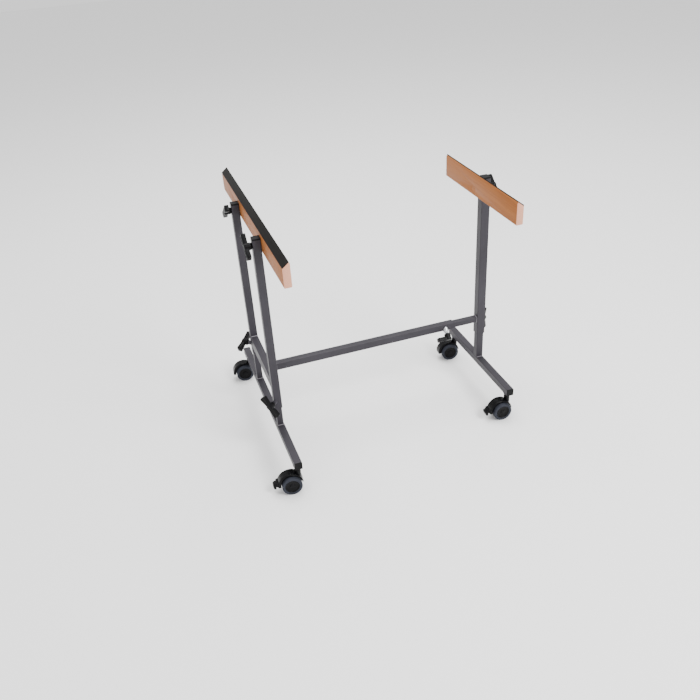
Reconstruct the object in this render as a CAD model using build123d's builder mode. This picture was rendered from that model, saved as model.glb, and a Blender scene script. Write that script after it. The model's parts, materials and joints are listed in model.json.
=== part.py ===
"""Rolling underframe of a sewing table, in millimetres, +Z up.

Two side frames of square steel tube stand on twin-wheel castors and are joined by a telescoping
cross beam.  The long left frame has two telescoping posts, the short right frame has one.  Each
frame carries a wooden rail with a black strip on its bevelled top.  The origin is on the floor,
under the middle of the long frame's length and the middle of the whole frame's width.
"""

from build123d import *
from math import atan, cos, radians, sin, sqrt
import os

os.makedirs("parts", exist_ok=True)

# ---- driving dimensions: where the frames stand -------------------------------------------
left_x = -368.5  # middle plane of the long side frame
right_x = left_x + 780.0  # middle plane of the short side frame
beam_y = -42.0  # cross beam and right post, counted from the long frame's middle
post_pitch = 294.0  # between the two left posts
left_foot_length = 726.0
right_foot_length = 456.0
right_foot_shift = -11.0  # middle of the right foot, counted from its post

# ---- driving dimensions: square tubes ------------------------------------------------------
tube = 25.0  # foot tubes, left posts, outer beam and right lower tube
small_tube = 20.0  # left lower tubes and inner beam
large_tube = 30.0  # right post
wall = 2.0
tube_corner = 2.0  # outside corner radius of every tube
bar_height = 40.0  # the side bar is a rectangular tube

# ---- driving dimensions: heights above the floor -------------------------------------------
foot_bottom = 95.0
foot_top = foot_bottom + tube
lower_tube_top = 600.0
rear_sleeve_bottom = 230.0
front_sleeve_bottom = 190.0
right_sleeve_bottom = 220.0
front_clamp_z = 217.0
rear_clamp_z = 263.0
right_clamp_z = 254.0
left_post_top = 784.0
right_post_top = 797.0
side_bar_z = 280.0
beam_z = 278.0
rail_bottom = 744.0
rail_outer_top = 805.0
rail_inner_top = 812.0
rail_peak = 820.0
rail_clamp_z = 765.0

# ---- driving dimensions: cross beam --------------------------------------------------------
beam_outer_length = 662.0
beam_inner_length = 620.0
beam_clamp_inset = 31.0  # clamp, back from the open end of the outer beam
beam_nut_length, beam_nut_rim = 10.0, 3.0  # out from the beam's corner, and its thick rim
beam_nut_radius, beam_nut_tip_radius = 10.0, 6.0

# ---- driving dimensions: wooden rails ------------------------------------------------------
rail_thickness = 22.0
rail_ridge = 3.0  # how far the highest line lies from the inner face
rail_gap = 0.5  # between a rail and its posts
rail_edge_round = 1.5
left_rail_length = 806.0
right_rail_length = 480.0
right_rail_shift = -33.0  # middle of the right rail, counted from its post
strip_thickness = 3.0
nut_radius, nut_length = 7.0, 14.0
nut_tail = 1.0  # a rail clamp's stud ends this far inside its nut
plug_radius, plug_depth, plug_chamfer = 11.0, 4.0, 0.6

# ---- driving dimensions: end caps ----------------------------------------------------------
post_cap_height = 5.0
foot_cap_thickness = 3.0
cap_plug_depth = 12.0
cap_round = 0.9

# ---- driving dimensions: wing knobs --------------------------------------------------------
stud_radius = 4.0
running_gap = 0.05  # shaft in a hole that it turns in
passing_gap = 0.4  # shaft in a hole that it only goes through
tip_gap = 0.3  # a clamp screw's point stops this short of the inner tube
knob_length = 24.0  # along the stud
knob_skin = 6.0  # plastic left over the end of the stud
knob_clearance = 2.0  # between a knob and its boss
hub_radius = 11.0
wing_reach = 40.0  # from the stud's axis to the end of a lobe
wing_thickness = 14.0
wing_waist, wing_end = 15.0, 23.0  # width of a lobe beside the hub and at its end
wing_corner = 4.0
boss_radius, boss_length = 7.5, 7.0

# ---- driving dimensions: castors -----------------------------------------------------------
wheel_radius = 32.5
hub_disc_radius, hub_rim = 23.5, 4.5
hub_dish, hub_rim_step = 4.0, 0.5  # the hub's middle and rim lie this far inside the tyre's face
hub_boss_radius, hub_boss_height, hub_boss_taper = 9.0, 2.5, 20.0
tyre_round = 3.5
trail = 24.0  # swivel axis to wheel axis
wheel_inner, wheel_outer = 5.0, 26.0  # the two faces of a wheel, from the castor's middle
web_half = 4.0
hood_inner, hood_outer = 34.5, 41.0
hood_shift = 3.0  # the hood's outer round is set this far beyond the wheel axis
hood_half = 16.0
hood_front_skirt, hood_rear_skirt = 5.0, -4.0  # its lower edge below the stem and at the far end
hood_round = 3.0
axle_radius = 4.0
axle_boss_radius = 12.0
stem_radius = 5.0
stem_flange_radius, stem_flange_thickness, stem_flange_taper = 13.0, 3.0, 15.0
castor_boss_radius, castor_boss_top = 10.0, 82.0
stem_bottom = 64.5
stem_top = foot_bottom + 18.0
castor_inset = 20.0  # swivel axis, back from the end of the foot
pedal_pivot_radius, pedal_pivot_angle = 44.0, 8.0  # pivot, about the wheel axis
pedal_barrel, pedal_pin_radius = 5.0, 2.0
pedal_outline = ((12, 1), (16, -4), (13, -15), (7, -16), (5, -5))  # out from and up from the pivot
pedal_half = 11.5
pedal_gap = 0.5
pedal_room = 18.0  # the hood is cut away this far around the pedal


def write(piece, name):
    """Label a finished piece and write its STEP file."""
    piece.label = name
    export_step(piece, f"parts/{name}.step")


def square_tube(plane, size, length, height=None):
    """A square or rectangular tube that starts on a plane and runs along its normal."""
    height = height or size
    with BuildPart() as tube_part:
        with BuildSketch(plane):
            RectangleRounded(size, height, tube_corner)
            Rectangle(size - 2 * wall, height - 2 * wall, mode=Mode.SUBTRACT)
        extrude(amount=length)
    return tube_part.part


def end_plug(plane, size, cap_height):
    """A plastic cap that covers a tube's end, with a plug that goes down inside it."""
    with BuildPart() as cap:
        with BuildSketch(plane):
            RectangleRounded(size, size, tube_corner)
        extrude(amount=cap_height)
        fillet(cap.faces().sort_by(Axis(plane.origin, plane.z_dir))[-1].edges(), cap_round)
        with BuildSketch(plane):
            Rectangle(size - 2 * wall, size - 2 * wall)
        extrude(amount=-cap_plug_depth)
    return cap.part


# ==== feet and lower tubes ==================================================================
left_posts_y = (-post_pitch / 2, post_pitch / 2)
frames = {
    "left": (left_x, 0.0, left_foot_length, left_posts_y, small_tube),
    "right": (right_x, beam_y + right_foot_shift, right_foot_length, (beam_y,), tube),
}

for side, (x, middle_y, foot_length, posts_y, lower_size) in frames.items():
    foot_z = foot_bottom + tube / 2
    ends_y = (middle_y - foot_length / 2, middle_y + foot_length / 2)
    stems_y = (ends_y[0] + castor_inset, ends_y[1] - castor_inset)

    with BuildPart() as foot:
        foot_start = Plane((x, ends_y[0], foot_z), x_dir=(1, 0, 0), z_dir=(0, 1, 0))
        add(square_tube(foot_start, tube, foot_length))
        with Locations(*[(x, y, foot_bottom + wall / 2) for y in stems_y]):
            Cylinder(stem_radius, 2 * wall, mode=Mode.SUBTRACT)
    write(foot.part, f"{side}_foot")

    with BuildPart() as lower_tubes:
        for y in posts_y:
            add(square_tube(Plane((x, y, foot_top)), lower_size, lower_tube_top - foot_top))
    write(lower_tubes.part, "left_lower_tubes" if side == "left" else "right_lower_tube")

    with BuildPart() as foot_caps:
        for y, outward in ((ends_y[0], -1), (ends_y[1], 1)):
            foot_end = Plane((x, y, foot_z), x_dir=(1, 0, 0), z_dir=(0, outward, 0))
            add(end_plug(foot_end, tube, foot_cap_thickness))
        # the stems pass through the foot just behind each plug
        with Locations(*[(x, y, (stem_top + foot_bottom) / 2) for y in stems_y]):
            Cylinder(stem_radius + passing_gap, stem_top - foot_bottom, mode=Mode.SUBTRACT)
    write(foot_caps.part, f"{side}_foot_caps")

    with BuildPart() as stems:
        for y in stems_y:
            with BuildSketch(Plane((x, y, stem_bottom))):
                Circle(stem_radius)
            extrude(amount=stem_top - stem_bottom)
            with BuildSketch(Plane((x, y, foot_bottom))):
                Circle(stem_flange_radius)
            extrude(amount=-stem_flange_thickness, taper=stem_flange_taper)
    write(stems.part, f"{side}_castor_stems")


# ==== sleeve posts ==========================================================================
def clamp_plane(x, y, z, toward_x, toward_y):
    """Plane through a post's axis, facing out along a horizontal direction."""
    return Plane((x, y, z), x_dir=(0, 0, 1), z_dir=(toward_x, toward_y, 0))


def corner_reach(size, corner):
    """From a square tube's axis out to its rounded corner."""
    return sqrt(2) * (size / 2 - corner) + corner


def sleeve(size, bottom, top, plane, x, y):
    """Outer post with a threaded boss on one corner and a cross hole for the rail clamp."""
    boss_end = corner_reach(size, tube_corner) + boss_length
    with BuildPart() as post:
        with BuildSketch(Plane((x, y, bottom))):
            RectangleRounded(size, size, tube_corner)
        extrude(amount=top - bottom)
        with BuildSketch(plane.offset(size / 4)):
            Circle(boss_radius)
        extrude(amount=boss_end - size / 4)
        with BuildSketch(Plane((x, y, bottom))):
            Rectangle(size - 2 * wall, size - 2 * wall)
        extrude(amount=top - bottom, mode=Mode.SUBTRACT)
        with BuildSketch(plane.offset(size / 4)):
            Circle(stud_radius + running_gap)
        extrude(amount=boss_end, mode=Mode.SUBTRACT)
        with BuildSketch(Plane((x, y, rail_clamp_z), x_dir=(0, 1, 0), z_dir=(1, 0, 0))):
            Circle(stud_radius + passing_gap)
        extrude(amount=size, both=True, mode=Mode.SUBTRACT)
    return post.part


front_clamp = clamp_plane(left_x, -post_pitch / 2, front_clamp_z, -1, -1)
rear_clamp = clamp_plane(left_x, post_pitch / 2, rear_clamp_z, -1, 1)
right_clamp = clamp_plane(right_x, beam_y, right_clamp_z, 1, 1)

with BuildPart() as front_left_post:
    add(sleeve(tube, front_sleeve_bottom, left_post_top, front_clamp, left_x, -post_pitch / 2))
write(front_left_post.part, "front_left_post")

with BuildPart() as rear_left_post:
    add(sleeve(tube, rear_sleeve_bottom, left_post_top, rear_clamp, left_x, post_pitch / 2))
write(rear_left_post.part, "rear_left_post")

with BuildPart() as right_post:
    add(sleeve(large_tube, right_sleeve_bottom, right_post_top, right_clamp, right_x, beam_y))
write(right_post.part, "right_post")

with BuildPart() as left_post_caps:
    for y in left_posts_y:
        add(end_plug(Plane((left_x, y, left_post_top)), tube, post_cap_height))
write(left_post_caps.part, "left_post_caps")

with BuildPart() as right_post_cap:
    add(end_plug(Plane((right_x, beam_y, right_post_top)), large_tube, post_cap_height))
write(right_post_cap.part, "right_post_cap")

# ==== side bar and telescoping cross beam ===================================================
with BuildPart() as side_bar:
    bar_start_y = tube / 2 - post_pitch / 2
    bar_start = Plane((left_x, bar_start_y, side_bar_z), x_dir=(1, 0, 0), z_dir=(0, 1, 0))
    add(square_tube(bar_start, tube, post_pitch - tube, bar_height))
write(side_bar.part, "side_bar")

beam_start = left_x + tube / 2
beam_clamp_x = beam_start + beam_outer_length - beam_clamp_inset
beam_across = Plane((beam_start, beam_y, beam_z), x_dir=(0, 1, 0), z_dir=(1, 0, 0))
# the beam's clamp points down and forward, through the tube's lower corner
beam_clamp = Plane((beam_clamp_x, beam_y, beam_z), x_dir=(1, 0, 0), z_dir=(0, -1, -1))

with BuildPart() as beam_outer:
    add(square_tube(beam_across, tube, beam_outer_length))
    with BuildSketch(beam_clamp):
        Circle(stud_radius + passing_gap)
    extrude(amount=tube, mode=Mode.SUBTRACT)
write(beam_outer.part, "beam_outer")

with BuildPart() as beam_inner:
    inner_end = beam_across.offset(right_x - large_tube / 2 - beam_start)
    add(square_tube(inner_end.offset(-beam_inner_length), small_tube, beam_inner_length))
write(beam_inner.part, "beam_inner")

with BuildPart() as beam_nut:
    rim_end = corner_reach(tube, tube_corner) + beam_nut_rim
    nut_end = corner_reach(tube, tube_corner) + beam_nut_length
    with BuildSketch(beam_clamp.offset(tube / 4)):
        Circle(beam_nut_radius)
    extrude(amount=rim_end - tube / 4)
    with BuildSketch(beam_clamp.offset(rim_end)):
        Circle(beam_nut_radius)
    with BuildSketch(beam_clamp.offset(nut_end)):
        Circle(beam_nut_tip_radius)
    loft()
    with BuildSketch(beam_across):
        RectangleRounded(tube, tube, tube_corner)
    extrude(amount=beam_outer_length, mode=Mode.SUBTRACT)
    with BuildSketch(beam_clamp):
        Circle(stud_radius + running_gap)
    extrude(amount=2 * tube, mode=Mode.SUBTRACT)
write(beam_nut.part, "beam_clamp_nut")


# ==== wooden rails, strips, clamp nuts and plugs ============================================
def rail_profile(outward, face_x):
    """Plane across a rail, with its x axis running out from the inner face."""
    return Plane((face_x, 0, 0), x_dir=(outward, 0, 0), z_dir=(0, -outward, 0))


strip_slope = atan((rail_peak - rail_outer_top) / (rail_thickness - rail_ridge))
strip_rise = strip_thickness / cos(strip_slope)
rails = {
    # outward direction, outer face, middle along Y, length and clamp positions
    "left": (-1, left_x + tube / 2 + rail_gap, 0.0, left_rail_length, left_posts_y),
    "right": (
        1,
        right_x - large_tube / 2 - rail_gap,
        beam_y + right_rail_shift,
        right_rail_length,
        (beam_y,),
    ),
}

for side, (outward, outer_face_x, middle_y, length, clamps_y) in rails.items():
    inner_face_x = outer_face_x - outward * rail_thickness
    across = rail_profile(outward, inner_face_x)
    start = across.offset(-outward * middle_y - length / 2)
    plane_in = Plane((inner_face_x, 0, rail_clamp_z), x_dir=(0, 1, 0), z_dir=(outward, 0, 0))
    plane_out = Plane((outer_face_x, 0, rail_clamp_z), x_dir=(0, 1, 0), z_dir=(-outward, 0, 0))

    with BuildPart() as rail:
        with BuildSketch(start):
            with BuildLine():
                Polyline(
                    (0, rail_bottom),
                    (0, rail_inner_top),
                    (rail_ridge, rail_peak - strip_rise),
                    (rail_thickness, rail_outer_top - strip_rise),
                    (rail_thickness, rail_bottom),
                    close=True,
                )
            make_face()
        extrude(amount=length)
        fillet(rail.edges().filter_by(Axis.Y).group_by(Axis.Z)[0], rail_edge_round)
        with BuildSketch(plane_in):
            with Locations(*[(y, 0) for y in clamps_y]):
                Circle(plug_radius)
        extrude(amount=plug_depth, mode=Mode.SUBTRACT)
        with BuildSketch(plane_out):
            with Locations(*[(y, 0) for y in clamps_y]):
                Circle(nut_radius)
        extrude(amount=nut_length, mode=Mode.SUBTRACT)
    write(rail.part, f"{side}_rail")

    with BuildPart() as strip:
        with BuildSketch(start):
            with BuildLine():
                Polyline(
                    (rail_ridge, rail_peak - strip_rise),
                    (rail_ridge, rail_peak),
                    (rail_thickness, rail_outer_top),
                    (rail_thickness, rail_outer_top - strip_rise),
                    close=True,
                )
            make_face()
        extrude(amount=length)
    write(strip.part, f"{side}_rail_strip")

    with BuildPart() as nuts:
        with BuildSketch(plane_out):
            with Locations(*[(y, 0) for y in clamps_y]):
                Circle(nut_radius)
                Circle(stud_radius + running_gap, mode=Mode.SUBTRACT)
        extrude(amount=nut_length)
    write(nuts.part, "left_clamp_nuts" if side == "left" else "right_clamp_nut")

    with BuildPart() as plugs:
        with BuildSketch(plane_in):
            with Locations(*[(y, 0) for y in clamps_y]):
                Circle(plug_radius)
        extrude(amount=plug_depth)
        shown = plugs.faces().filter_by(Axis.X).sort_by(Axis.X, reverse=outward < 0)
        chamfer(shown[: len(clamps_y)].edges(), plug_chamfer)
    write(plugs.part, "left_rail_plugs" if side == "left" else "right_rail_plug")


# ==== wing knobs ============================================================================
def wing_knob(name, seat, stud_in, wing_angle, arms):
    """A plastic knob with one or two lobes, on a threaded stud.

    seat is the plane where the knob's hub begins, with its normal running away from the post;
    stud_in is how far the stud goes in past that plane; wing_angle turns the lobes, and arms
    holds 1 or -1 for each of them.
    """
    turn = radians(wing_angle)
    along_lobes = seat.x_dir * cos(turn) + seat.y_dir * sin(turn)
    lobes = Plane(seat.origin, x_dir=along_lobes, z_dir=seat.z_dir)
    lobes = lobes.offset(knob_length - wing_thickness)
    stud_end = knob_length - knob_skin
    with BuildPart() as wing:
        with BuildSketch(seat):
            Circle(hub_radius)
        extrude(amount=knob_length)
        with BuildSketch(lobes) as outline:
            for arm in arms:
                with BuildLine():
                    Polyline(
                        (0, -wing_waist / 2),
                        (arm * hub_radius, -wing_waist / 2),
                        (arm * wing_reach, -wing_end / 2),
                        (arm * wing_reach, wing_end / 2),
                        (arm * hub_radius, wing_waist / 2),
                        (0, wing_waist / 2),
                        close=True,
                    )
                make_face()
            tips = outline.vertices().filter_by(lambda corner: abs(corner.X) > 2 * hub_radius)
            fillet(tips, wing_corner)
        extrude(amount=wing_thickness)
        with BuildSketch(seat):
            Circle(stud_radius)
        extrude(amount=stud_end, mode=Mode.SUBTRACT)
    write(wing.part, f"{name}_knob")

    with BuildPart() as stud:
        with BuildSketch(seat.offset(-stud_in)):
            Circle(stud_radius)
        extrude(amount=stud_in + stud_end)
    write(stud.part, f"{name}_stud")


sliding_clamps = {
    # clamp plane, outer and inner tube, how far the boss stands out, the lobes' angle and arms
    "front_height": (front_clamp, tube, small_tube, boss_length, 37, (-1, 1)),
    "rear_height": (rear_clamp, tube, small_tube, boss_length, 70, (-1, 1)),
    "right_height": (right_clamp, large_tube, tube, boss_length, 0, (-1, 1)),
    "beam": (beam_clamp, tube, small_tube, beam_nut_length, 0, (-1,)),
}
for name, (plane, size, inner_size, stand_out, angle, arms) in sliding_clamps.items():
    hub_start = corner_reach(size, tube_corner) + stand_out + knob_clearance
    tip = corner_reach(inner_size, tube_corner) + tip_gap
    wing_knob(name, plane.offset(hub_start), hub_start - tip, angle, arms)

rail_clamps = {
    # post position, post size, outward direction and the lobes' angle from upright
    "front_rail": (left_x, -post_pitch / 2, tube, -1, 50),
    "rear_rail": (left_x, post_pitch / 2, tube, -1, -55),
    "right_rail": (right_x, beam_y, large_tube, 1, -57),
}
for name, (x, y, size, outward, angle) in rail_clamps.items():
    face = clamp_plane(x, y, rail_clamp_z, outward, 0).offset(size / 2 + rail_gap)
    wing_knob(name, face, size + 2 * rail_gap + nut_length - nut_tail, angle, (-1, 1))


# ==== castors ===============================================================================
# Each castor is drawn in its own frame: origin on the floor under the swivel axis, +X towards
# the wheel axis, then turned to the direction in which it trails.
castors = {
    # which frame and which end of its foot, direction of trail, whether it has a brake
    "front_left": ("left", -1, 174, True),
    "rear_left": ("left", 1, 175, False),
    "front_right": ("right", -1, 179, True),
    "rear_right": ("right", 1, 173, False),
}
wheel_axis = (trail, wheel_radius)
pedal_pivot = (
    trail + pedal_pivot_radius * cos(radians(pedal_pivot_angle)),
    wheel_radius + pedal_pivot_radius * sin(radians(pedal_pivot_angle)),
)
upright = Plane.XZ  # its x axis is the castor's +X and its y axis is up; its normal is -Y


def disc(radius, centre, plane=upright):
    """A round face on an upright plane of the castor."""
    with BuildSketch(plane) as sketch:
        with Locations(centre):
            Circle(radius)
    return sketch.sketch


def castor_body(with_brake):
    """Hood over the wheels' inner halves, with the stem's boss, the web and the pedal's ears."""
    with BuildPart() as body:
        with BuildSketch(upright):
            with Locations((trail + hood_shift, wheel_radius)):
                Circle(hood_outer)
            with BuildLine():
                Polyline(
                    (trail - 2 * hood_outer, wheel_radius + 2 * hood_front_skirt),
                    (trail + 2 * hood_outer, wheel_radius + 2 * hood_rear_skirt),
                    (trail + 2 * hood_outer, -hood_outer),
                    (trail - 2 * hood_outer, -hood_outer),
                    close=True,
                )
            make_face(mode=Mode.SUBTRACT)
        extrude(amount=hood_half, both=True)
        fillet(body.edges().filter_by(GeomType.CIRCLE), hood_round)
        with BuildSketch(Plane.XY.offset(wheel_radius)):
            Circle(castor_boss_radius)
        extrude(amount=castor_boss_top - wheel_radius)
        if with_brake:
            ear_radius = pedal_barrel + pedal_gap
            extrude(disc(ear_radius, pedal_pivot), amount=hood_half, both=True)
            with BuildSketch(upright):
                with Locations(pedal_pivot):
                    Circle(pedal_barrel + 2 * pedal_gap)
                with Locations((pedal_pivot[0] + pedal_room, pedal_pivot[1])):
                    Rectangle(2 * pedal_room, 2 * pedal_room)
            extrude(amount=pedal_half + pedal_gap, both=True, mode=Mode.SUBTRACT)
            pin_hole = disc(pedal_pin_radius + running_gap, pedal_pivot)
            extrude(pin_hole, amount=hood_half, both=True, mode=Mode.SUBTRACT)
        for direction in (-1, 1):
            recess = disc(hood_inner, wheel_axis, upright.offset(direction * web_half))
            extrude(recess, amount=direction * hood_half, mode=Mode.SUBTRACT)
        extrude(disc(axle_boss_radius, wheel_axis), amount=web_half, both=True)
        axle_hole = disc(axle_radius + running_gap, wheel_axis)
        extrude(axle_hole, amount=hood_half, both=True, mode=Mode.SUBTRACT)
        with BuildSketch(Plane.XY.offset(castor_boss_top)):
            Circle(stem_radius + running_gap)
        stem_depth = castor_boss_top - stem_bottom + passing_gap
        extrude(amount=-stem_depth, mode=Mode.SUBTRACT)
    return body.part


def both_sides(outer, inner, near, far):
    """Two equal rings about the wheel axis, one on each side of the castor's middle."""
    with BuildPart() as rings:
        for direction in (-1, 1):
            with BuildSketch(upright.offset(direction * near)):
                with Locations(wheel_axis):
                    Circle(outer)
                    Circle(inner, mode=Mode.SUBTRACT)
            extrude(amount=direction * (far - near))
    return rings.part


hub_face = wheel_outer - hub_dish
hoods = {True: castor_body(True), False: castor_body(False)}

with BuildPart() as axle:
    extrude(disc(axle_radius, wheel_axis), amount=hub_face, both=True)

with BuildPart() as hubs:
    add(both_sides(hub_disc_radius, axle_radius, wheel_inner, hub_face))
    rim_inside = hub_disc_radius - hub_rim
    add(both_sides(hub_disc_radius, rim_inside, hub_face, wheel_outer - hub_rim_step))
    for direction in (-1, 1):
        boss = disc(hub_boss_radius, wheel_axis, upright.offset(direction * hub_face))
        extrude(boss, amount=direction * hub_boss_height, taper=hub_boss_taper)

with BuildPart() as tyres:
    add(both_sides(wheel_radius, hub_disc_radius, wheel_inner, wheel_outer))
    circles = tyres.edges().filter_by(GeomType.CIRCLE)
    fillet(circles.filter_by(lambda circle: circle.radius > hub_disc_radius + 1), tyre_round)

with BuildPart() as pedal:
    pivot_x, pivot_z = pedal_pivot
    extrude(disc(pedal_barrel, pedal_pivot), amount=pedal_half, both=True)
    with BuildSketch(upright):
        with BuildLine():
            Polyline(
                (pivot_x - 0.2 * pedal_barrel, pivot_z + 0.96 * pedal_barrel),
                *[(pivot_x + out, pivot_z + up) for out, up in pedal_outline],
                (pivot_x - 0.2 * pedal_barrel, pivot_z - 0.96 * pedal_barrel),
                close=True,
            )
        make_face()
    extrude(amount=pedal_half, both=True)
    extrude(disc(pedal_pin_radius, pedal_pivot), amount=hood_half, both=True)

for name, (side, end, angle, with_brake) in castors.items():
    x, middle_y, foot_length, _, _ = frames[side]
    swivel_y = middle_y + end * (foot_length / 2 - castor_inset)
    under_stem = Location((x, swivel_y, 0), (0, 0, angle))
    write(hoods[with_brake].moved(under_stem), f"{name}_castor_body")
    write(axle.part.moved(under_stem), f"{name}_axle")
    write(hubs.part.moved(under_stem), f"{name}_hubs")
    write(tyres.part.moved(under_stem), f"{name}_tyres")
    if with_brake:
        write(pedal.part.moved(under_stem), f"{name}_pedal")
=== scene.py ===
"""The sewing table underframe as it looks: coated steel, beech rails, black plastic and chrome.

Tubes, caps, nuts, studs and castor hoods keep their CAD shapes.  Rails, strips and pedals are those
shapes with eased edges.  Knobs, hubs, tyres and weld beads are modelled here.  Everything is in
metres, in the frame's own coordinates.
"""

import json
from math import acos, cos, pi, radians, sin, tan

import bmesh
import bpy
from mathutils import Matrix, Vector


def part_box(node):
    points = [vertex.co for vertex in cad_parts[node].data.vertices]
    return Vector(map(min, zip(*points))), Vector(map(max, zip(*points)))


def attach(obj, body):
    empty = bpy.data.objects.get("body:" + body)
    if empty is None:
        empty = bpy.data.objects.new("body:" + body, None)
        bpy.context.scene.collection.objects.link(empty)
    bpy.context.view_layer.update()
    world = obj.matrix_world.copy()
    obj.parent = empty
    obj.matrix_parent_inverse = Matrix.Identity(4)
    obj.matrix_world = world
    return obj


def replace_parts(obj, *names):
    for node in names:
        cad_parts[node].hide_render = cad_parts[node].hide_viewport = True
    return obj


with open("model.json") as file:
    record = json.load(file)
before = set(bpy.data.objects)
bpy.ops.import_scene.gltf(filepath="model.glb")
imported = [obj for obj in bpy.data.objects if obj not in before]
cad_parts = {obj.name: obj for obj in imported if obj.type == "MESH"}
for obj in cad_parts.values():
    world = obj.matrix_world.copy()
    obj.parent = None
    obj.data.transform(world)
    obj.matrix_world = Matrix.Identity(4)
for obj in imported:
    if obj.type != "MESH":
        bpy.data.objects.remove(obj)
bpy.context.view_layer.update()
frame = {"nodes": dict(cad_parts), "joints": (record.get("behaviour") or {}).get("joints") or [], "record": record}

MM = 0.001
BODY_OF = {node: body for body, nodes in frame["record"]["behaviour"]["bodies"].items() for node in nodes}
SLOT_OF = {part["node"]: part["material_slot"] for part in frame["record"]["subparts"]}
JOINT = {joint["name"]: joint for joint in frame["joints"]}
CASTORS = ("front_left", "rear_left", "front_right", "rear_right")
BRAKED = ("front_left", "front_right")


# ==== materials =============================================================================
def new_material(name):
    """A new material, its node tree and its surface shader."""
    material = bpy.data.materials.new(name)
    material.use_nodes = True
    shader = material.node_tree.nodes["Principled BSDF"]
    return material, material.node_tree, shader


def add_node(tree, kind, inputs=None, **settings):
    """Add a node, set its properties, and set or link its inputs."""
    node = tree.nodes.new(kind)
    for key, value in settings.items():
        setattr(node, key, value)
    for key, value in (inputs or {}).items():
        if isinstance(value, bpy.types.NodeSocket):
            tree.links.new(value, node.inputs[key])
        else:
            node.inputs[key].default_value = value
    return node


def stretched(tree, scale):
    """Object coordinates in metres, times a scale for each axis."""
    position = add_node(tree, "ShaderNodeTexCoord").outputs["Object"]
    return add_node(tree, "ShaderNodeMapping", {"Vector": position, "Scale": scale}).outputs["Vector"]


def noise(tree, vector, detail, roughness=0.55, distortion=0.0):
    """Noise at the scale of the coordinates that it is given."""
    inputs = {"Vector": vector, "Scale": 1.0, "Detail": detail}
    inputs |= {"Roughness": roughness, "Distortion": distortion}
    return add_node(tree, "ShaderNodeTexNoise", inputs).outputs["Fac"]


def ramp(tree, factor, *stops):
    """Map a value to a colour through stops of (position, colour)."""
    node = add_node(tree, "ShaderNodeValToRGB", {"Fac": factor})
    elements = node.color_ramp.elements
    while len(elements) < len(stops):
        elements.new(0.5)
    for element, (position, colour) in zip(elements, stops):
        element.position = position
        element.color = (*colour, 1.0)
    return node.outputs["Color"]


def spread(tree, factor, low, high, start=0.0, end=1.0):
    """Map a value from one range to another."""
    inputs = {"Value": factor, "From Min": start, "From Max": end, "To Min": low, "To Max": high}
    return add_node(tree, "ShaderNodeMapRange", inputs).outputs["Result"]


def mixed(tree, factor, first, second, blend="MIX"):
    """Blend two colours by a factor; each of the three is a value or a socket."""
    node = add_node(tree, "ShaderNodeMix", data_type="RGBA", blend_type=blend)
    for socket, value in ((node.inputs[0], factor), (node.inputs[6], first), (node.inputs[7], second)):
        if isinstance(value, bpy.types.NodeSocket):
            tree.links.new(value, socket)
        else:
            socket.default_value = value
    return node.outputs[2]


def bump(tree, shader, height, depth, strength):
    """Roughen the surface by a height pattern; depth is in metres."""
    node = add_node(tree, "ShaderNodeBump", {"Height": height, "Distance": depth, "Strength": strength})
    tree.links.new(node.outputs["Normal"], shader.inputs["Normal"])


def coated_steel(name, dark, light, gloss):
    """Powder coat: an orange-peel skin with a faint drift in shade and gloss."""
    material, tree, shader = new_material(name)
    drift = noise(tree, stretched(tree, (9, 9, 9)), detail=6)
    flecks = noise(tree, stretched(tree, (900, 900, 900)), detail=2)
    shade = ramp(tree, drift, (0.32, dark), (0.68, light))
    speckle = ramp(tree, flecks, (0.30, (0.86, 0.86, 0.87)), (0.70, (1.12, 1.12, 1.13)))
    tree.links.new(mixed(tree, 0.55, shade, speckle, "MULTIPLY"), shader.inputs["Base Color"])
    rubbed = noise(tree, stretched(tree, (34, 34, 12)), detail=5, distortion=0.4)
    tree.links.new(spread(tree, rubbed, gloss - 0.06, gloss + 0.10), shader.inputs["Roughness"])
    peel = noise(tree, stretched(tree, (620, 620, 620)), detail=3, roughness=0.6)
    bump(tree, shader, peel, 0.00008, 0.45)
    shader.inputs["Specular IOR Level"].default_value = 0.20
    return material


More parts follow.
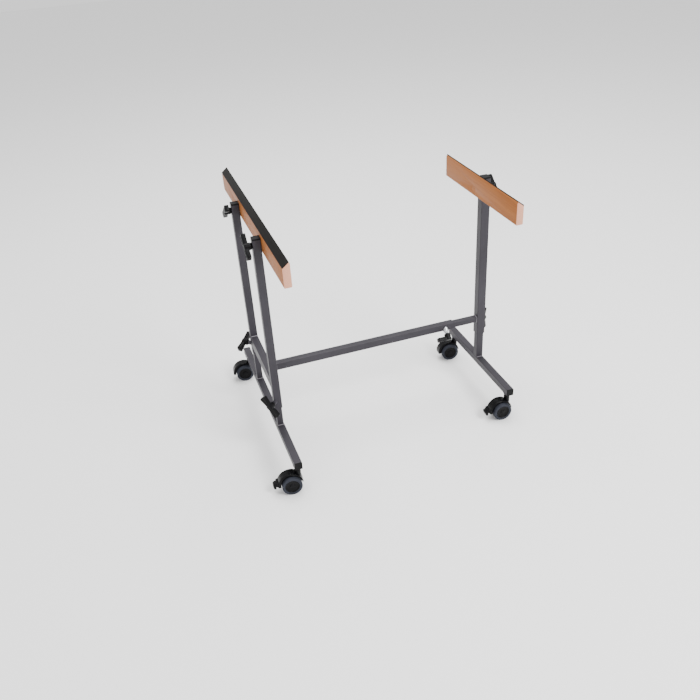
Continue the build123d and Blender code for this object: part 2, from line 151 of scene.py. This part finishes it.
def beech(name):
    """Lacquered beech with its grain along Y, short ray flecks on the faces and pale end grain."""
    material, tree, shader = new_material(name)
    bands = noise(tree, stretched(tree, (34, 2.2, 34)), detail=5, roughness=0.6, distortion=0.9)
    face = ramp(
        tree,
        bands,
        (0.28, (0.27, 0.090, 0.020)),
        (0.52, (0.33, 0.117, 0.029)),
        (0.78, (0.38, 0.145, 0.040)),
    )
    fibres = noise(tree, stretched(tree, (420, 9, 420)), detail=3, roughness=0.7)
    fibre_tint = ramp(tree, fibres, (0.30, (0.84, 0.80, 0.78)), (0.70, (1.08, 1.08, 1.08)))
    face = mixed(tree, 0.75, face, fibre_tint, "MULTIPLY")
    rays = noise(tree, stretched(tree, (950, 190, 950)), detail=1)
    ray_tint = ramp(tree, rays, (0.0, (0.62, 0.52, 0.46)), (0.33, (0.80, 0.74, 0.70)), (0.40, (1, 1, 1)))
    face = mixed(tree, 0.75, face, ray_tint, "MULTIPLY")

    position = add_node(tree, "ShaderNodeTexCoord").outputs["Object"]
    rings = add_node(
        tree,
        "ShaderNodeTexWave",
        {"Vector": position, "Scale": 85.0, "Distortion": 5.0, "Detail": 3.0, "Detail Scale": 1.4},
        wave_type="RINGS",
        rings_direction="Y",
    ).outputs["Fac"]
    end = ramp(tree, rings, (0.0, (0.55, 0.26, 0.17)), (1.0, (0.64, 0.33, 0.225)))
    pores = noise(tree, stretched(tree, (1500, 40, 1500)), detail=1)
    pore_tint = ramp(tree, pores, (0.30, (0.72, 0.66, 0.62)), (0.42, (1, 1, 1)))
    end = mixed(tree, 0.7, end, pore_tint, "MULTIPLY")

    normal = add_node(tree, "ShaderNodeTexCoord").outputs["Normal"]
    along = add_node(tree, "ShaderNodeSeparateXYZ", {"Vector": normal}).outputs["Y"]
    sideways = add_node(tree, "ShaderNodeMath", {0: along}, operation="ABSOLUTE").outputs["Value"]
    is_end = spread(tree, sideways, 0.0, 1.0, 0.75, 0.9)
    tree.links.new(mixed(tree, is_end, face, end), shader.inputs["Base Color"])
    tree.links.new(spread(tree, bands, 0.44, 0.56), shader.inputs["Roughness"])
    bump(tree, shader, fibres, 0.00010, 0.5)
    shader.inputs["Specular IOR Level"].default_value = 0.2
    return material


def plastic(name, colour, gloss, grain_scale, grain_depth, sheen=0.1):
    """Moulded plastic or rubber: a fine grain, with a drift in its shade and gloss."""
    material, tree, shader = new_material(name)
    drift = noise(tree, stretched(tree, (45, 45, 45)), detail=5)
    low = tuple(0.82 * c for c in colour)
    high = tuple(1.35 * c for c in colour)
    tree.links.new(ramp(tree, drift, (0.3, low), (0.75, high)), shader.inputs["Base Color"])
    tree.links.new(spread(tree, drift, gloss - 0.07, gloss + 0.09), shader.inputs["Roughness"])
    grain = noise(tree, stretched(tree, (grain_scale, grain_scale, grain_scale)), detail=2, roughness=0.7)
    bump(tree, shader, grain, grain_depth, 0.6)
    shader.inputs["Specular IOR Level"].default_value = sheen
    return material


def ribbed_strip(name):
    """Dull black strip with fine ribs along its length."""
    material, tree, shader = new_material(name)
    drift = noise(tree, stretched(tree, (60, 14, 60)), detail=5)
    shade = ramp(tree, drift, (0.3, (0.004, 0.0034, 0.003)), (0.8, (0.009, 0.0078, 0.007)))
    tree.links.new(shade, shader.inputs["Base Color"])
    position = add_node(tree, "ShaderNodeTexCoord").outputs["Object"]
    inputs = {"Vector": position, "Scale": 95.0, "Distortion": 0.3}
    ribs = add_node(tree, "ShaderNodeTexWave", inputs, bands_direction="X").outputs["Fac"]
    bump(tree, shader, ribs, 0.0002, 0.7)
    tree.links.new(spread(tree, drift, 0.62, 0.80), shader.inputs["Roughness"])
    shader.inputs["Specular IOR Level"].default_value = 0.15
    return material


def bright_metal(name, colour, gloss, streak):
    """Plated metal with fine marks; streak is the depth of its machining marks."""
    material, tree, shader = new_material(name)
    haze = noise(tree, stretched(tree, (160, 160, 160)), detail=6)
    dull = tuple(0.8 * c for c in colour)
    tree.links.new(ramp(tree, haze, (0.25, dull), (0.7, colour)), shader.inputs["Base Color"])
    tree.links.new(spread(tree, haze, gloss, gloss + 0.14), shader.inputs["Roughness"])
    marks = noise(tree, stretched(tree, (300, 300, 2600)), detail=2)
    bump(tree, shader, marks, streak, 0.5)
    shader.inputs["Metallic"].default_value = 1.0
    return material


MATERIAL = {
    "dark_grey_steel": coated_steel("dark_grey_steel", (0.026, 0.0235, 0.029), (0.035, 0.032, 0.039), 0.42),
    "beech": beech("beech"),
    "black_strip": ribbed_strip("black_strip"),
    "cap_plastic": plastic("cap_plastic", (0.004, 0.004, 0.0045), 0.42, 900, 0.00006),
    "knob_plastic": plastic("knob_plastic", (0.003, 0.003, 0.0035), 0.38, 1100, 0.00008),
    "castor_plastic": plastic("castor_plastic", (0.0025, 0.0025, 0.003), 0.26, 1400, 0.00003),
    "grey_tyre": plastic("grey_tyre", (0.022, 0.024, 0.032), 0.55, 800, 0.00006),
    "chrome": bright_metal("chrome", (0.80, 0.81, 0.84), 0.07, 0.00001),
    "zinc_steel": bright_metal("zinc_steel", (0.62, 0.63, 0.65), 0.28, 0.00005),
}
# The weld beads carry the same dark grey coat as the tubes. This much lighter grey is a painted highlight that
# stands in for the glints the beads catch. The lower roughness is the beads' glossier skin.
WELD_WITH_PAINTED_HIGHLIGHT = coated_steel("weld_bead_painted_highlight", (0.16, 0.15, 0.165), (0.24, 0.23, 0.25), 0.26)


# ==== mesh helpers ==========================================================================
def piece(name, mesh_data, body, slot, material=None, smooth=32):
    """Turn a bmesh into an object that rides on a body."""
    mesh = bpy.data.meshes.new(name)
    bmesh.ops.recalc_face_normals(mesh_data, faces=mesh_data.faces)
    mesh_data.to_mesh(mesh)
    mesh_data.free()
    for polygon in mesh.polygons:
        polygon.use_smooth = True
    mesh.set_sharp_from_angle(angle=radians(smooth))
    mesh.materials.append(material or MATERIAL[slot])
    obj = bpy.data.objects.new(name, mesh)
    bpy.context.scene.collection.objects.link(obj)
    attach(obj, body)
    return obj


def rounded(points, radii, steps=5, closed=True):
    """A polyline with its corners turned into arcs, with a radius for each corner."""
    count = len(points)
    line = []
    for i, (point, r) in enumerate(zip(points, radii)):
        if r == 0 or (not closed and i in (0, count - 1)):
            line.append(Vector(point))
            continue
        here = Vector(point)
        back = (Vector(points[i - 1]) - here).normalized()
        ahead = (Vector(points[(i + 1) % count]) - here).normalized()
        half = acos(max(-1.0, min(1.0, back.dot(ahead)))) / 2
        bisector = (back + ahead).normalized()
        centre = here + bisector * (r / sin(half))
        first = here + back * (r / tan(half)) - centre
        last = here + ahead * (r / tan(half)) - centre
        for step in range(steps + 1):
            line.append(centre + first.slerp(last, step / steps).normalized() * r)
    return [(p.x, p.y) for p in line]


def lathe(bm, profile, place, segments, closed=False):
    """Turn a profile of (radius, along the axis) about the local Z axis."""
    turns = [2 * pi * i / segments for i in range(segments)]
    rings = []
    for radius, along in profile:
        if radius < 1e-6:
            rings.append([bm.verts.new(place @ Vector((0, 0, along)))])
        else:
            circle = [Vector((radius * cos(a), radius * sin(a), along)) for a in turns]
            rings.append([bm.verts.new(place @ point) for point in circle])
    following = rings[1:] + rings[:1] if closed else rings[1:]
    for ring, following_ring in zip(rings, following):
        for i in range(segments):
            j = (i + 1) % segments
            corners = [ring[i % len(ring)], ring[j % len(ring)]]
            corners += [following_ring[j % len(following_ring)], following_ring[i % len(following_ring)]]
            bm.faces.new(list(dict.fromkeys(corners)))


def ease(bm, edges, width, segments):
    """Round some edges off."""
    settings = {"segments": segments, "affect": "EDGES", "profile": 0.5, "clamp_overlap": True}
    bmesh.ops.bevel(bm, geom=edges, offset=width, **settings)


def prism(bm, outline, place, thickness, bevel, recess):
    """Extrude an outline along local Z, sink its top face and ease its end edges.

    recess holds the width of the rim left round the sunk panel, and the panel's depth.
    """
    bottom = bm.faces.new([bm.verts.new(place @ Vector((x, y, 0))) for x, y in outline])
    lifted = bmesh.ops.extrude_face_region(bm, geom=[bottom])["geom"]
    top_verts = [v for v in lifted if isinstance(v, bmesh.types.BMVert)]
    top = next(f for f in lifted if isinstance(f, bmesh.types.BMFace))
    bmesh.ops.translate(bm, verts=top_verts, vec=place.to_3x3() @ Vector((0, 0, thickness)))
    rim = list(top.edges) + list(bottom.edges)
    width, depth = recess
    slope_width = 0.8 * depth
    bmesh.ops.recalc_face_normals(bm, faces=list(bm.faces))
    bmesh.ops.inset_region(bm, faces=[top], thickness=width, use_even_offset=True)
    bmesh.ops.inset_region(bm, faces=[top], thickness=slope_width, depth=-depth, use_even_offset=True)
    ease(bm, rim, bevel, 3)


def frame_at(origin, z_axis, x_hint):
    """A placement with its Z axis along one direction and its X axis as near as it can be to another."""
    z = Vector(z_axis).normalized()
    x = Vector(x_hint)
    x = (x - z * x.dot(z)).normalized()
    rotation = Matrix((x, z.cross(x), z)).transposed().to_4x4()
    return Matrix.Translation(origin) @ rotation


def is_outside_edge(edge, sharp=40):
    """Whether an edge stands out, between faces that turn by more than sharp degrees."""
    return len(edge.link_faces) == 2 and edge.is_convex and edge.calc_face_angle(0) > radians(sharp)


def eased(node, width, segments=2):
    """A CAD node's own shape with its outside edges eased; it stands for the node."""
    bm = bmesh.new()
    bm.from_mesh(frame["nodes"][node].data)
    bmesh.ops.remove_doubles(bm, verts=bm.verts, dist=0.002 * MM)
    bmesh.ops.dissolve_limit(bm, angle_limit=radians(0.6), verts=bm.verts, edges=bm.edges)
    ease(bm, [edge for edge in bm.edges if is_outside_edge(edge)], width, segments)
    obj = piece(f"{node}_look", bm, BODY_OF[node], SLOT_OF[node])
    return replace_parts(obj, node)


# ==== CAD shapes that stay ==================================================================
for node, obj in frame["nodes"].items():
    obj.data.materials.clear()
    obj.data.materials.append(MATERIAL[SLOT_OF[node]])

EASED_WIDTH = {
    "left_rail": 0.7 * MM,
    "right_rail": 0.7 * MM,
    "left_rail_strip": 0.35 * MM,
    "right_rail_strip": 0.35 * MM,
}
for node, width in EASED_WIDTH.items():
    eased(node, width)


# ==== weld beads ============================================================================
def bead(bm, path, radius=1.9 * MM, pitch=2.6 * MM):
    """A rippled bead along a path of points, like a row of overlapping drops."""
    sides = 10
    rings = []
    for start, end in zip(path, path[1:]):
        start, end = Vector(start), Vector(end)
        steps = max(2, round((end - start).length / (pitch / 6)))
        along = (end - start).normalized()
        place = frame_at((0, 0, 0), along, (0.31, 0.52, 0.79))
        for step in range(steps + 1):
            travelled = (end - start).length * step / steps
            swell = radius * (0.84 + 0.16 * abs(cos(pi * travelled / pitch)))
            centre = start + along * travelled
            ring = [
                bm.verts.new(centre + place.to_3x3() @ Vector((swell * cos(a), swell * sin(a), 0)))
                for a in (2 * pi * i / sides for i in range(sides))
            ]
            if step:
                for i in range(sides):
                    j = (i + 1) % sides
                    bm.faces.new((rings[-1][i], rings[-1][j], ring[j], ring[i]))
            else:
                bm.faces.new(ring)
            rings.append(ring)
        bm.faces.new(rings[-1])


# Beads use the lighter weld material, whose grey is a painted highlight and not the colour of the coat.
def weld(name, body, paths):
    bm = bmesh.new()
    for path in paths:
        bead(bm, path)
    piece(name, bm, body, "dark_grey_steel", WELD_WITH_PAINTED_HIGHLIGHT, smooth=60)


def runs_around(corners):
    """The sides of a polygon, as separate runs."""
    return list(zip(corners, corners[1:] + corners[:1]))


def level_square(low, high, z):
    """The four sides of a rectangle in the plane Z = z, as separate runs."""
    (x0, y0), (x1, y1) = low, high
    return runs_around([(x0, y0, z), (x1, y0, z), (x1, y1, z), (x0, y1, z)])


def upright_square(x, low, high):
    """The four sides of a rectangle in the plane X = x, as separate runs."""
    (y0, z0), (y1, z1) = low, high
    return runs_around([(x, y0, z0), (x, y1, z0), (x, y1, z1), (x, y0, z1)])


foot_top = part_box("left_foot")[1][2]
left_low, left_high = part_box("left_lower_tubes")
tube_width = left_high[0] - left_low[0]
for name, y in (("front", left_low[1] + tube_width / 2), ("rear", left_high[1] - tube_width / 2)):
    half = tube_width / 2
    middle = (left_low[0] + left_high[0]) / 2
    around = level_square((middle - half, y - half), (middle + half, y + half), foot_top)
    weld(f"{name}_left_base_weld", "left_base", around)

right_low, right_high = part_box("right_lower_tube")
inset = 1.5 * MM  # a straight bead stops this short of the tube's corners
weld(
    "right_base_weld",
    "right_base",
    [
        ((right_low[0] + inset, y, foot_top), (right_high[0] - inset, y, foot_top))
        for y in (right_low[1], right_high[1])
    ],
)

bar_low, bar_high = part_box("side_bar")
weld(
    "side_bar_welds",
    "left_carriage",
    [
        ((bar_low[0] + inset, y, z), (bar_high[0] - inset, y, z))
        for y in (bar_low[1], bar_high[1])
        for z in (bar_low[2], bar_high[2])
    ],
)

beam_low, beam_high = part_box("beam_outer")
weld("beam_weld", "left_carriage", upright_square(beam_low[0], beam_low[1:], beam_high[1:]))
inner_low, inner_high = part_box("beam_inner")
weld("beam_inner_weld", "right_carriage", upright_square(inner_high[0], inner_low[1:], inner_high[1:]))


# ==== wing knobs ============================================================================
KNOB_LENGTH = 24 * MM
HUB_RADIUS = 11 * MM
REACH = 40 * MM
LOBE_THICKNESS = 14 * MM
LOBE_WAIST, LOBE_END = 15 * MM, 23 * MM
LOBE_TIP_ROUND, LOBE_ROOT_ROUND = 4.5 * MM, 6 * MM
PANEL_RIM, PANEL_DEPTH = 4.2 * MM, 1.3 * MM


TWO_LOBES, ONE_LOBE = (-1, 1), (1,)
# for each clamp: the angle of its lobes from upright, about its axis
KNOB_TURNS = {
    "front_height": 37,
    "rear_height": 70,
    "right_height": 0,
    "front_rail": 50,
    "rear_rail": -55,
    "right_rail": -57,
}


def lobe_outline(lobes):
    """Outline of a knob's lobes, seen along its axis; each lobe points along local X or against it."""
    left = -REACH if -1 in lobes else 0
    outline = [(left, -LOBE_END / 2), (-HUB_RADIUS, -LOBE_WAIST / 2)] if left else [(0, -LOBE_WAIST / 2)]
    outline += [(HUB_RADIUS, -LOBE_WAIST / 2), (REACH, -LOBE_END / 2)]
    return outline + [(x, -y) for x, y in reversed(outline)]


def wing_knob(node, joint, direction, lobes=TWO_LOBES):
    """A moulded knob: a collar over the stud, and lobes with a sunk panel."""
    out = Vector(joint["axis"]).normalized()
    on_axis = Vector(joint["pos_m"])
    start = min((vertex.co - on_axis).dot(out) for vertex in frame["nodes"][node].data.vertices)
    seat = frame_at(on_axis + out * start, out, direction)
    bm = bmesh.new()
    outline = lobe_outline(lobes)
    radii = [LOBE_TIP_ROUND if abs(x) == REACH else LOBE_ROOT_ROUND if x else 0 for x, _ in outline]
    level = seat @ Matrix.Translation((0, 0, KNOB_LENGTH - LOBE_THICKNESS))
    prism(bm, rounded(outline, radii), level, LOBE_THICKNESS, 2 * MM, (PANEL_RIM, PANEL_DEPTH))
    collar = rounded(
        [
            (0, 0),
            (8.6 * MM, 0),
            (HUB_RADIUS, 4 * MM),
            (HUB_RADIUS, KNOB_LENGTH - 1.6 * MM),
            (8 * MM, KNOB_LENGTH),
            (0, KNOB_LENGTH),
        ],
        [0, 0.8 * MM, 2 * MM, 1.2 * MM, 1.2 * MM, 0],
        closed=False,
    )
    lathe(bm, collar, seat, segments=64)
    obj = piece(f"{node}_look", bm, BODY_OF[node], SLOT_OF[node])
    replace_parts(obj, node)


for name, turn in KNOB_TURNS.items():
    joint = JOINT[f"{name}_screw"]
    upright = Vector((0, 0, 1))
    across = Vector(joint["axis"]).normalized().cross(upright)
    wing_knob(f"{name}_knob", joint, upright * cos(radians(turn)) + across * sin(radians(turn)))
wing_knob("beam_knob", JOINT["beam_screw"], (-1, 0, 0), ONE_LOBE)


# ==== castors ===============================================================================
WHEEL_RADIUS = 32.5 * MM
TYRE_INSIDE = 23.5 * MM
WHEEL_INNER, WHEEL_OUTER = 5 * MM, 26 * MM

TYRE_PROFILE = rounded(
    [
        (TYRE_INSIDE, WHEEL_INNER),
        (WHEEL_RADIUS, WHEEL_INNER),
        (WHEEL_RADIUS, 15.0 * MM),
        (WHEEL_RADIUS - 0.5 * MM, 15.5 * MM),
        (WHEEL_RADIUS, 16.0 * MM),
        (WHEEL_RADIUS, WHEEL_OUTER - 1.2 * MM),
        (30.5 * MM, WHEEL_OUTER),
        (25.0 * MM, WHEEL_OUTER),
        (TYRE_INSIDE, WHEEL_OUTER - 1.0 * MM),
    ],
    [0.5 * MM, 2.5 * MM, 0.2 * MM, 0.2 * MM, 0.2 * MM, 2.2 * MM, 1.8 * MM, 0.8 * MM, 0.3 * MM],
)
HUB_PROFILE = rounded(
    [
        (0, WHEEL_INNER),
        (TYRE_INSIDE, WHEEL_INNER),
        (TYRE_INSIDE, WHEEL_OUTER - 1.2 * MM),
        (21.0 * MM, WHEEL_OUTER - 0.6 * MM),
        (19.6 * MM, WHEEL_OUTER - 3.2 * MM),
        (8.6 * MM, WHEEL_OUTER - 4.0 * MM),
        (7.4 * MM, WHEEL_OUTER - 2.0 * MM),
        (0, WHEEL_OUTER - 1.4 * MM),
    ],
    [0, 0.5 * MM, 0.6 * MM, 0.7 * MM, 1.0 * MM, 0.8 * MM, 0.9 * MM, 0],
    closed=False,
)

for name in CASTORS:
    roll = JOINT[f"{name}_roll"]
    body = f"{name}_wheels"
    centre = Vector(roll["pos_m"])
    shapes = ((f"{name}_tyres", TYRE_PROFILE, True), (f"{name}_hubs", HUB_PROFILE, False))
    for node, profile, is_ring in shapes:
        bm = bmesh.new()
        for direction in (-1, 1):
            place = frame_at(centre, Vector(roll["axis"]) * direction, (0, 0, 1))
            lathe(bm, profile, place, segments=96, closed=is_ring)
        obj = piece(f"{node}_look", bm, body, SLOT_OF[node])
        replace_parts(obj, node)
for name in BRAKED:
    eased(f"{name}_pedal", 0.9 * MM, segments=3)


# ==== floor, light and camera ===============================================================
def pale_floor():
    bm = bmesh.new()
    bmesh.ops.create_grid(bm, x_segments=1, y_segments=1, size=12)
    mesh = bpy.data.meshes.new("floor")
    bm.to_mesh(mesh)
    bm.free()
    material, _, shader = new_material("floor")
    shader.inputs["Base Color"].default_value = (0.92, 0.92, 0.92, 1)
    shader.inputs["Roughness"].default_value = 0.85
    mesh.materials.append(material)
    floor = bpy.data.objects.new("floor", mesh)
    bpy.context.scene.collection.objects.link(floor)


def soft_light(name, place, target, size, power):
    light = bpy.data.lights.new(name, "AREA")
    light.shape = "DISK"
    light.size = size
    light.energy = power
    obj = bpy.data.objects.new(name, light)
    obj.location = place
    obj.rotation_mode = "QUATERNION"
    obj.rotation_quaternion = (Vector(target) - Vector(place)).to_track_quat("-Z", "Y")
    bpy.context.scene.collection.objects.link(obj)


pale_floor()
middle = (0, 0, 0.45)
soft_light("key", (1.8, -3.2, 3.6), middle, 2.0, 260)
soft_light("fill", (-3.4, -1.6, 2.2), middle, 2.6, 14)
soft_light("top", (0.2, 1.2, 4.2), middle, 3.2, 170)

world = bpy.data.worlds.new("studio")
world.use_nodes = True
world.node_tree.nodes["Background"].inputs["Color"].default_value = (1.0, 1.0, 1.0, 1)
world.node_tree.nodes["Background"].inputs["Strength"].default_value = 1.15
bpy.context.scene.world = world

CAMERA_PLACE = (-0.7206, -2.1441, 1.6707)
CAMERA_HEADING, CAMERA_DROP, CAMERA_ROLL = 17.0, 32.51, 3.93  # degrees
FOCAL_LENGTH, SENSOR = 39.26, 36.0

lens = bpy.data.cameras.new("camera")
lens.sensor_width = SENSOR
lens.lens = FOCAL_LENGTH
camera = bpy.data.objects.new("camera", lens)
aim = Matrix.Rotation(-radians(CAMERA_HEADING), 4, "Z") @ Matrix.Rotation(radians(90 - CAMERA_DROP), 4, "X")
roll_turn = Matrix.Rotation(-radians(CAMERA_ROLL), 4, "Z")
camera.matrix_world = Matrix.Translation(CAMERA_PLACE) @ aim @ roll_turn
bpy.context.scene.collection.objects.link(camera)
bpy.context.scene.camera = camera
